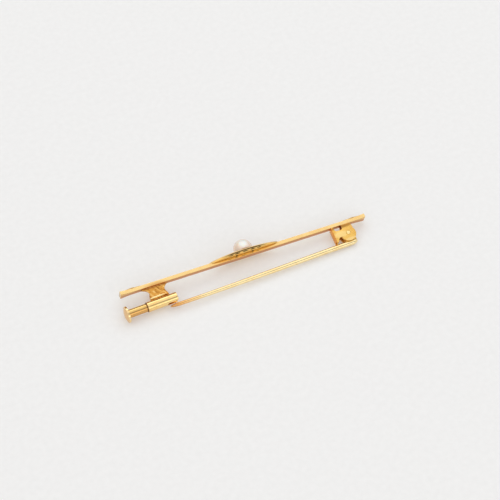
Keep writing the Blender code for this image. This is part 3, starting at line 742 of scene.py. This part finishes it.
def make_rim():
    """The rim wire, its face rolled with a milgrain tool into a row of beads."""
    radius = (RIM_HIGH.y - RIM_LOW.y) / 2
    y = (RIM_HIGH.y + RIM_LOW.y) / 2
    pitch = 0.052
    stations = spaced(navette(radius + 0.02), pitch)
    count = len(stations)
    beads = round(count / 5)
    points = [(point.x, y, point.y) for point in stations]
    phases = [math.pi * beads * i / count for i in range(count)]
    radii = [radius * (0.80 + 0.20 * abs(math.sin(phase)) ** 0.7) for phase in phases]
    mesh = swept(points, radii, sides=14, cyclic=True)
    add_piece("rim_wire", mesh, BROOCH, "brooch", RIM_GOLD, ["plaque_rim"], sharp=60)


def make_pearl():
    """A slightly uneven pearl, flattened where it sits in its cup."""
    rings = 48
    last = math.acos((PEARL_LOW.y - PEARL_CENTRE) / PEARL_RADIUS)

    def uneven(radius, angle, height):
        direction = Vector(on_circle(radius, angle, height))
        radius = PEARL_RADIUS * (0.975 + 0.005 * noise.noise(direction * 1.6))
        return direction * radius

    angles = [last * i / rings for i in range(rings + 1)]
    mesh = lathe([(math.sin(angle), math.cos(angle)) for angle in angles], shaped=uneven)
    moved(mesh, shift(PEARL_X, PEARL_CENTRE, 0) @ ALONG_Y)
    add_piece("pearl_body", mesh, BROOCH, "brooch", PEARL_NACRE, ["pearl"])


def make_pearl_cup():
    """Shallow cup with a rolled lip, and a twisted wire laid round its foot."""
    top = CUP_HIGH.y
    bottom = CUP_LOW.y
    radius = CUP_HIGH.z
    bore = 0.33
    profile = arc((radius - 0.07, top - 0.05), 0.05, 120, -60, 7)
    profile += [(radius - 0.10, top - 0.14), (radius - 0.20, bottom + 0.10), (radius - 0.26, bottom)]
    profile += [(bore, bottom), (bore, top - 0.12), (radius - 0.35, top - 0.10)]
    cup = moved(lathe(profile, closed=True), shift(PEARL_X, 0, 0) @ ALONG_Y)
    add_piece("cup_bowl", cup, BROOCH, "brooch", CUP_GOLD, ["pearl_cup"])
    ring = radius - 0.16
    count = 360
    for number, start in enumerate((0.0, math.pi), 1):
        points = []
        for i in range(count):
            turn = 2 * math.pi * i / count
            twist = start + 42 * turn
            out = ring + 0.05 * math.cos(twist)
            height = bottom + 0.11 + 0.05 * math.sin(twist)
            points.append((PEARL_X + out * math.cos(turn), height, out * math.sin(turn)))
        mesh = swept(points, [0.055] * count, sides=8, cyclic=True)
        add_piece("cup_twist_%d" % number, mesh, BROOCH, "brooch", RIM_GOLD, sharp=60)


# ---- leaves

LEAF_PROFILE = ((0.00, 0.18), (0.10, 0.43), (0.24, 0.56), (0.34, 0.86), (0.44, 1.00), (0.52, 0.97),
                (0.59, 0.72), (0.63, 0.50), (0.70, 0.53), (0.82, 0.44), (0.93, 0.22), (1.00, 0.02))


def leaf_width(t):
    """Share of the three-lobed leaf's half width, t from 0 at its outer end to 1 at its tip."""
    for (t0, w0), (t1, w1) in zip(LEAF_PROFILE, LEAF_PROFILE[1:]):
        if t <= t1:
            share = (t - t0) / (t1 - t0)
            return w0 + (w1 - w0) * share - 0.03 * (0.5 - 0.5 * math.cos(2 * math.pi * t * 16))
    return LEAF_PROFILE[-1][1]


def make_leaf(node, side):
    """A leaf lying along the bar: its stem end at the flare, with a middle vein and slanting side veins."""
    low, high = extent(node, BROOCH)
    back = low.y
    thickness = high.y - low.y
    length = high.x - low.x
    scale = (high.z - low.z) / 2
    stations = 72
    half_columns = 9
    rows = []
    for i in range(stations + 1):
        t = 0.004 + 0.992 * i / stations
        x = low.x + length * t if side < 0 else high.x - length * t
        half = max(leaf_width(t) * scale, 0.02)
        front = []
        rear = []
        for j in range(-half_columns, half_columns + 1):
            u = j / half_columns
            z = half * u
            edge = 1 - abs(u) ** 6
            camber = 0.55 + 0.45 * math.cos(math.pi / 2 * u) ** 0.8
            mid_vein = 0.10 * math.exp(-(z / 0.06) ** 2)
            side_vein = 0.05 * max(0.0, math.cos((t * 62 - abs(z) * 7.5))) ** 8 * (1 - abs(u) ** 3)
            height = thickness * (0.25 + 0.75 * camber * edge) - thickness * (mid_vein + side_vein)
            front.append((x, back + max(height, 0.05), z))
            rear.append((x, back, z))
        rows.append(front + rear[::-1])
    name = node.replace("end_leaf", "leaf")
    add_piece(name, skin(rows), BROOCH, "brooch", LEAF_GOLD, [node], sharp=45)


# ---- catch

def plate_half_width(y):
    """Half width of the catch plate at a distance behind the bar."""
    if y > PLATE_WAIST_Y:
        share = (y - PLATE_WAIST_Y) / (PLATE_HIGH.y - PLATE_WAIST_Y)
        return PLATE_WAIST_HALF_WIDTH + (PLATE_TOP_HALF_WIDTH - PLATE_WAIST_HALF_WIDTH) * share ** 2.2
    share = min((PLATE_WAIST_Y - y) / 1.35, 1.0)
    return PLATE_WAIST_HALF_WIDTH + (PLATE_FOOT_HALF_WIDTH - PLATE_WAIST_HALF_WIDTH) * share


def plate_stations():
    """Top and bottom of the plate along its length, as (y, z) pairs in the catch's axes."""
    cradle = TUBE_RADIUS + 0.03
    outer = cradle + 0.30
    start = PLATE_HIGH.y - CATCH_IN_BROOCH.translation.y / MM + 0.06
    top = [(start - (start - cradle - 0.80) * i / 16, PLATE_TOP) for i in range(17)]
    rise = ((0.66, 0.03), (0.62, 0.09), (0.59, 0.15), (0.55, 0.172))
    ridge = ((0.48, 0.184), (0.41, 0.194), (0.34, 0.20), (0.28, 0.195))
    drop = ((0.24, 0.165), (0.19, 0.11), (0.13, 0.03), (0.06, -0.05))
    top += [(cradle + out, z) for out, z in rise + ridge + drop]
    top += arc((0, 0), cradle, -6, -65, 12)
    bottom = [(start - (start - outer) * i / 26, PLATE_BOTTOM) for i in range(27)]
    bottom += arc((0, 0), outer, -22, -65, len(top) - len(bottom))
    return top, bottom


def make_catch_plate():
    """Waisted plate with a file-marked face, a raised ridge and a cradle under the tube."""
    to_brooch = CATCH_IN_BROOCH.copy()
    to_brooch.translation = to_brooch.translation / MM
    centre = (to_brooch.inverted() @ Vector((PLATE_X, -2.3, 0))).x
    columns = 30
    edge_steps = 3
    shares = [2 * i / columns - 1 for i in range(columns + 1)]
    edge_shares = [i / edge_steps for i in range(1, edge_steps)]
    rows = []
    for top, bottom in zip(*plate_stations()):
        half = plate_half_width((to_brooch @ Vector((centre, top[0], 0))).y)
        between = [Vector(top).lerp(Vector(bottom), share) for share in edge_shares]
        row = []
        for u in shares:
            x = centre + half * u
            facing = smoothstep(1.0, 0.93, abs(u))
            mark = 0.016 * noise.noise(Vector((x * 5.5 + top[0] * 2.0, top[0] * 2.2, 1.5)))
            mark += 0.010 * noise.noise(Vector((x * 13.0, top[0] * 6.0, 7.0)))
            row.append((x, top[0], top[1] + mark * facing - 0.05 * (1 - facing)))
        row += [(centre + half + 0.025, y, z) for y, z in between]
        for u in reversed(shares):
            rounded = 0.05 * (1 - smoothstep(1.0, 0.93, abs(u)))
            row.append((centre + half * u, bottom[0], bottom[1] + rounded))
        row += [(centre - half - 0.025, y, z) for y, z in reversed(between)]
        rows.append(row)
    add_piece("plate_body", skin(rows), CATCH, "brooch", PLATE_GOLD, ["catch_plate"], sharp=40)


def make_catch_tube():
    """Seamless tube with rounded lips and a slot at its right end, where the pin comes in."""
    left_lip = 0.12
    right_lip = 0.07
    mouth = PLUNGER_RADIUS + 0.03
    profile = arc((TUBE_RADIUS - right_lip, TUBE_HALF - right_lip), right_lip, 90, 0, 7)
    profile += arc((TUBE_RADIUS - left_lip, -TUBE_HALF + left_lip), left_lip, 0, -90, 7)
    profile += [(mouth + 0.07, -TUBE_HALF), (mouth, -TUBE_HALF + 0.06), (mouth, -TUBE_HALF + 0.25)]
    profile += [(TUBE_BORE, -TUBE_HALF + 0.32), (TUBE_BORE, TUBE_HALF - 0.03), (TUBE_BORE + 0.03, TUBE_HALF)]
    tube = moved(lathe(profile, 112, closed=True), ALONG_X)
    half = PIN_SLOT_HALF_WIDTH
    slot = [(TUBE_HALF + 1, -half), (TUBE_HALF + 1, half)]
    slot += arc((TUBE_HALF - PIN_SLOT_LENGTH + half, 0), half, 90, 270, 17)
    slot_cutter = moved(plate([slot], 1.2), shift(0, -TUBE_RADIUS, 0) @ FACING_FRONT)
    pip = moved(round_bar(0.19, 0.6, 24), shift(PIP_X, 0, -TUBE_RADIUS))
    mesh = cut(tube, [slot_cutter, pip])
    add_piece("tube_body", mesh, CATCH, "brooch", TUBE_GOLD, ["catch_tube"], sharp=32)


def make_plunger():
    """Inner tube that slides in the catch tube, with a slot that runs over the pip."""
    inner = PLUNGER_HIGH.x
    outer = PLUNGER_LOW.x
    bevel = 0.03
    profile = [(PLUNGER_RADIUS - bevel, inner), (PLUNGER_RADIUS, inner - bevel), (PLUNGER_RADIUS, outer)]
    profile += [(PLUNGER_BORE, outer), (PLUNGER_BORE, inner - bevel), (PLUNGER_BORE + bevel, inner)]
    tube = moved(lathe(profile, closed=True), ALONG_X)
    half = 0.20
    travel = SLIDE["range_m"][1] / MM
    outline = arc((PIP_X, 0), half, 90, -90, 13) + arc((PIP_X - travel, 0), half, 270, 90, 13)
    body = cut(tube, [moved(plate([outline], 0.5), shift(0, 0, -PLUNGER_RADIUS))])
    add_piece("plunger_body", body, CATCH, "plunger", PLUNGER_GOLD, ["plunger_tube"], 32)


def make_thumb_disc():
    """Turned disc: a polished rim, a low dome outside with painted shade that makes it darker than the rim, and
    solder round the plunger inside.
    """
    inner = DISC_HIGH.x
    outer = DISC_LOW.x
    edge = 0.05
    rim_width = 0.42
    dome_edge = inner - rim_width
    profile = []
    for i in range(14):
        share = i / 13
        profile.append((DISC_RADIUS * share * 0.93, outer + (dome_edge + 0.01 - outer) * share ** 2.2))
    profile += arc((DISC_RADIUS - edge, dome_edge + edge), edge, -90, 0, 5)
    profile += arc((DISC_RADIUS - edge, inner - edge), edge, 0, 90, 5)
    profile += [(DISC_RADIUS - 0.30, inner - 0.008), (PLUNGER_RADIUS + 0.16, inner - 0.008)]
    profile.append((0, inner - 0.004))
    mesh = moved(lathe(profile, 112), ALONG_X)
    add_piece("disc_body", mesh, CATCH, "plunger", DISC_GOLD, ["thumb_disc"], sharp=40)
    fillet = ((0.13, -0.02), (0.06, 0.01), (0.015, 0.035), (-0.03, 0.035), (-0.03, -0.02))
    ring = lathe([(PLUNGER_RADIUS + out, inner + along) for out, along in fillet], 64, closed=True)
    add_piece("disc_solder", moved(ring, ALONG_X), CATCH, "plunger", SOLDER_GOLD)


# ---- hinge

def bracket_outline():
    """Side of the bracket: a leg, an open eye beside the bar, a notch and a round knuckle."""
    top = BRACKET_HIGH.y + 0.04
    foot = -3.95
    foot_right = WEB_X + 0.32
    notch_left = WEB_X + 0.80
    notch_y = -3.02
    eye_floor = -1.52
    eye_corner = 0.50
    leg = [(EYE_LEFT, top), (WEB_X, top), (WEB_X, foot), (foot_right, foot)]
    notch_right = notch_left + 0.80
    notch = corner((foot_right, foot), (notch_left + 0.10, notch_y), (notch_right, notch_y), 0.28)
    notch += corner((notch_left, notch_y), (notch_right, notch_y), (notch_right + 0.2, notch_y - 0.3), 0.12)
    knuckle = arc((HINGE_X - 0.08, HINGE_Y - 0.10), KNUCKLE_RADIUS, 198, 392, 48)
    shoulder_top = (HINGE_X + 1.0, top)
    shoulder = corner(knuckle[-1], (HINGE_X + 1.36, -1.12), shoulder_top, 0.45) + [shoulder_top]
    corner_y = eye_floor + eye_corner
    eye = [(EYE_RIGHT, top)] + arc((EYE_RIGHT - eye_corner, corner_y), eye_corner, 0, -90, 10)
    eye += arc((EYE_LEFT + eye_corner, corner_y), eye_corner, 270, 180, 10)
    return leg + notch + knuckle + shoulder + eye


def make_bracket():
    """Bent bracket: two cheeks joined by a web, filed round at the knuckle and towards the bar."""
    block = plate([bracket_outline()], 2 * CHEEK_OUTER)
    inside = WEB_X + WEB_THICKNESS
    beyond = WEB_X - 1
    right = 26
    open_y = -3.6
    gap = [(inside, 0.5), (inside, open_y), (beyond, open_y), (beyond, -6), (right, -6), (right, 0.5)]
    cutters = [plate([gap], 2 * CHEEK_INNER)]
    for side in (1, -1):
        wide = side * 1.2
        narrow = side * 0.60
        outline = [(BAR_BACK - 0.45, wide), (0.05, wide), (0.05, narrow), (BAR_BACK, narrow)]
        cutters.append(moved(plate([outline], 12), shift(HINGE_X, 0, 0) @ ALONG_BAR))
    cutters.append(moved(round_bar(RIVET_RADIUS + 0.02, 3, 32), shift(HINGE_X, HINGE_Y, 0)))
    mesh = cut(block, cutters, rounding=0.07, segments=3, angle=38)
    add_piece("bracket_body", mesh, BROOCH, "brooch", BRACKET_GOLD, ["hinge_bracket"], 30)


def make_rivet():
    """Rivet with peened heads: nearly flat tops dented by the hammer, not quite round."""
    face = CHEEK_OUTER + 0.01
    head = []
    for i in range(9):
        share = i / 8
        head.append((RIVET_HEAD_RADIUS * share, face + (RIVET_TOP - face) * (0.95 - 0.80 * share ** 7)))
    head += [(RIVET_HEAD_RADIUS, face), (RIVET_RADIUS, face - 0.02)]

    def peened(radius, angle, z):
        side = 1 if z > 0 else -1
        x, y, _ = on_circle(radius, angle, z)
        dent = abs(0.03 * noise.noise(Vector((x * 4.2, y * 4.2, 2.0 if z > 0 else 5.0)))) if radius else 0
        if radius > 0.4:
            radius *= 0.96 + 0.04 * math.sin(3 * angle + 0.7)
        return on_circle(radius, angle, z - dent * side)

    mesh = lathe(head + [(radius, -z) for radius, z in reversed(head)], 48, shaped=peened)
    moved(mesh, shift(HINGE_X, HINGE_Y, 0))
    add_piece("rivet_body", mesh, BROOCH, "brooch", RIVET_GOLD, ["hinge_rivet"], sharp=50)


def make_tongue():
    """Tongue on the rivet, saddled over the pin wire."""
    foot = -PIN_OFFSET + 0.2
    half_foot = PIN_HEEL - 0.1
    outline = [(half_foot, foot)] + arc((0, 0), TONGUE_RADIUS, -14, 194, 49) + [(-half_foot, foot)]
    block = plate([outline], 2 * TONGUE_HALF_THICKNESS)
    saddle = moved(round_bar(PIN_RADIUS + 0.01, 8), shift(0, -PIN_OFFSET, 0) @ ALONG_X)
    mesh = cut(block, [saddle, round_bar(RIVET_RADIUS + 0.03, 3, 32)], rounding=0.04, angle=40)
    add_piece("tongue_body", mesh, PIN, "pin", TONGUE_GOLD, ["pin_tongue"], sharp=30)


def make_pin():
    """Drawn wire: heel filed off towards the tongue, a slow taper, a slight bow and a ground point."""
    start = PIN_HEEL - 1.1
    wire = []
    for i in range(9):
        t = i / 8
        share = 0.60 + 0.40 * math.sin(math.pi / 2 * t)
        x = PIN_HEEL - 1.1 * t
        y = -PIN_OFFSET + PIN_RADIUS * (1 - share)
        if i == 0:
            wire.append((x, y, PIN_RADIUS * share * 0.8))
            x -= 0.05
        wire.append((x, y, PIN_RADIUS * share))
    count = 60
    for i in range(1, count + 1):
        x = start - (start + PIN_TAPER_END) * i / count
        wire.append((x, pin_line(x), PIN_RADIUS + (PIN_TIP_RADIUS - PIN_RADIUS) * i / count))
    for i in range(1, 15):
        along = math.sin(math.pi / 2 * i / 14)
        x = -PIN_TAPER_END - (PIN_LENGTH - PIN_TAPER_END) * along
        wire.append((x, pin_line(x), max(PIN_TIP_RADIUS * (1 - along ** 2) ** 0.5, 0.03)))
    mesh = swept([(x, y, 0) for x, y, _ in wire], [radius for _, _, radius in wire], sides=32)
    add_piece("pin_wire", mesh, PIN, "pin", PIN_GOLD, ["pin_stem"], sharp=50)


def pin_line(x):
    """Height of the wire's middle, which bows a little away from the tube."""
    along = min(max(-x / PIN_LENGTH, 0.0), 1.0)
    return -PIN_OFFSET - 6.75 * PIN_BOW * along ** 2 * (1 - along)


# ---- solder

def solder_seam(name, start, end, radius):
    """A thin uneven line of solder between two points on the brooch."""
    start = Vector(start)
    end = Vector(end)
    count = max(int((end - start).length / 0.08), 8)
    points = []
    radii = []
    for i in range(count + 1):
        t = i / count
        points.append(start.lerp(end, t)[:])
        uneven = 0.8 + 0.45 * noise.noise(Vector((t * count * 0.22, start.x, start.y)))
        radii.append(radius * uneven * max(math.sin(math.pi * t) ** 0.25, 0.2))
    add_piece(name, swept(points, radii, sides=10), BROOCH, "brooch", SOLDER_GOLD, sharp=60)


def make_solder():
    """Solder where the catch plate and the bracket stand on the bar's back."""
    back = BAR_BACK - 0.01
    left = PLATE_LOW.x + 0.08
    right = PLATE_HIGH.x - 0.08
    for name, z in (("solder_plate_top", PLATE_TOP), ("solder_plate_under", PLATE_BOTTOM)):
        solder_seam(name, (left, back, z), (right, back, z), 0.06)
    for name, z in (("solder_knuckle_top", 0.60), ("solder_knuckle_under", -0.60)):
        solder_seam(name, (EYE_RIGHT + 0.04, back, z), (HINGE_X + 1.0, back, z), 0.06)
    web = WEB_X + 0.04
    solder_seam("solder_web", (web, back, -0.5), (web, back, 0.5), 0.05)


# ---- CAD pieces that stay

def keep_cad_pieces():
    for node, material in (("pearl_peg", SOLDER_GOLD), ("stop_pip", TUBE_GOLD)):
        mesh = frame["nodes"][node].data
        mesh.materials.clear()
        mesh.materials.append(material)


# ---- studio

CAMERA_DISTANCE = 0.300
OVERHEAD = 1.04
HORIZON_NEAR = 0.80
HORIZON_FAR = 0.06
GAP = 0.45
CAMERA_AZIMUTH = math.radians(-26.03)
CAMERA_ELEVATION = math.radians(54.42)
CAMERA_ROLL = math.radians(3.30)


def make_camera():
    """Camera behind the brooch and above it, a little to the left."""
    level = Vector((math.cos(CAMERA_AZIMUTH), math.sin(CAMERA_AZIMUTH), 0))
    forward = Vector((-level.y, level.x, 0))
    outward = Vector((0, 0, math.sin(CAMERA_ELEVATION))) - forward * math.cos(CAMERA_ELEVATION)
    right = level * math.cos(CAMERA_ROLL) + outward.cross(level) * math.sin(CAMERA_ROLL)
    data = bpy.data.cameras.new("camera")
    data.sensor_width = 36.0
    data.lens = 106.3
    data.shift_x = 0.0106
    data.shift_y = 0.0105
    data.clip_start = 0.001
    data.clip_end = 10.0
    camera = new_object("camera", data)
    turn = Matrix((right, outward.cross(right), outward)).transposed().to_4x4()
    camera.matrix_world = Matrix.Translation(BROOCH.translation + outward * CAMERA_DISTANCE) @ turn
    bpy.context.scene.camera = camera


def make_floor():
    """Sheet of paper that lets a little warm light through from below, so shadows on it stay pale."""
    nodes = material_nodes("floor_paper")
    tones = [(0.3, (0.585, 0.655, 0.690)), (0.7, (0.615, 0.685, 0.720))]
    nodes.set_shader({
        "Base Color": nodes.ramp(nodes.noise([900] * 3), tones),
        "Emission Color": (1.0, 0.76, 0.64, 1.0),
        "Emission Strength": 0.29,
        "Roughness": 0.9,
        "Specular IOR Level": 0.1})
    mesh = bpy.data.meshes.new("floor")
    half = 3.0
    corners = [(-half, -half, 0), (half, -half, 0), (half, half, 0), (-half, half, 0)]
    mesh.from_pydata(corners, [], [(0, 1, 2, 3)])
    mesh.materials.append(nodes.owner)
    new_object("floor", mesh)


def make_softbox(name, position, size, radiance):
    """A rectangular lamp that faces the origin, with the given radiance."""
    data = bpy.data.lights.new(name, 'AREA')
    data.shape = 'RECTANGLE'
    data.size, data.size_y = size
    data.energy = radiance * size[0] * size[1] * math.pi
    light = new_object(name, data)
    light.location = position
    light.rotation_euler = (-Vector(position)).to_track_quat('-Z', 'Y').to_euler()


def make_world():
    """Pale tent over the table: open far behind, near the horizon, and at a gap beside the camera."""
    world = bpy.data.worlds.new("tent")
    nodes = Nodes(world, "Background", "Generated")
    split = nodes.add("ShaderNodeSeparateXYZ")
    nodes.link(nodes.coordinates, split.inputs["Vector"])

    def ranged(axis, from_low, from_high, low=0.0, high=1.0):
        return nodes.map_range(split.outputs[axis], low, high, from_low, from_high, 'SMOOTHSTEP')

    def product(first, second):
        node = nodes.add("ShaderNodeMath", operation='MULTIPLY')
        nodes.link(first, node.inputs[0])
        nodes.link(second, node.inputs[1])
        return node.outputs["Value"]

    horizon = ranged("Y", -0.5, 0.5, HORIZON_NEAR, HORIZON_FAR)
    height = ranged("Z", 0.25, 0.55)
    tent = nodes.mixed(height, horizon, OVERHEAD)
    near_edge = ranged("Y", -0.72, -0.55)
    far_edge = ranged("Y", -0.35, -0.20, 1.0, 0.0)
    right_side = ranged("X", 0.02, 0.14)
    gap = product(product(near_edge, far_edge), product(right_side, height))
    nodes.set_shader({"Color": (1.0, 0.995, 0.985, 1.0), "Strength": nodes.mixed(gap, tent, GAP)})
    bpy.context.scene.world = world


def make_studio():
    make_camera()
    make_floor()
    make_world()
    make_softbox("far_softbox", (0.15, 0.42, 0.48), (0.70, 0.20), 0.85)
    make_softbox("near_softbox", (0.16, -0.52, 0.26), (0.70, 0.13), 0.85)
    bpy.context.scene.view_settings.view_transform = 'Standard'


make_studio()
make_bar()
make_plaque()
make_rim()
make_pearl()
make_pearl_cup()
make_leaf("left_end_leaf", -1)
make_leaf("right_end_leaf", 1)
make_catch_plate()
make_catch_tube()
make_plunger()
make_thumb_disc()
make_bracket()
make_rivet()
make_tongue()
make_pin()
make_solder()
keep_cad_pieces()
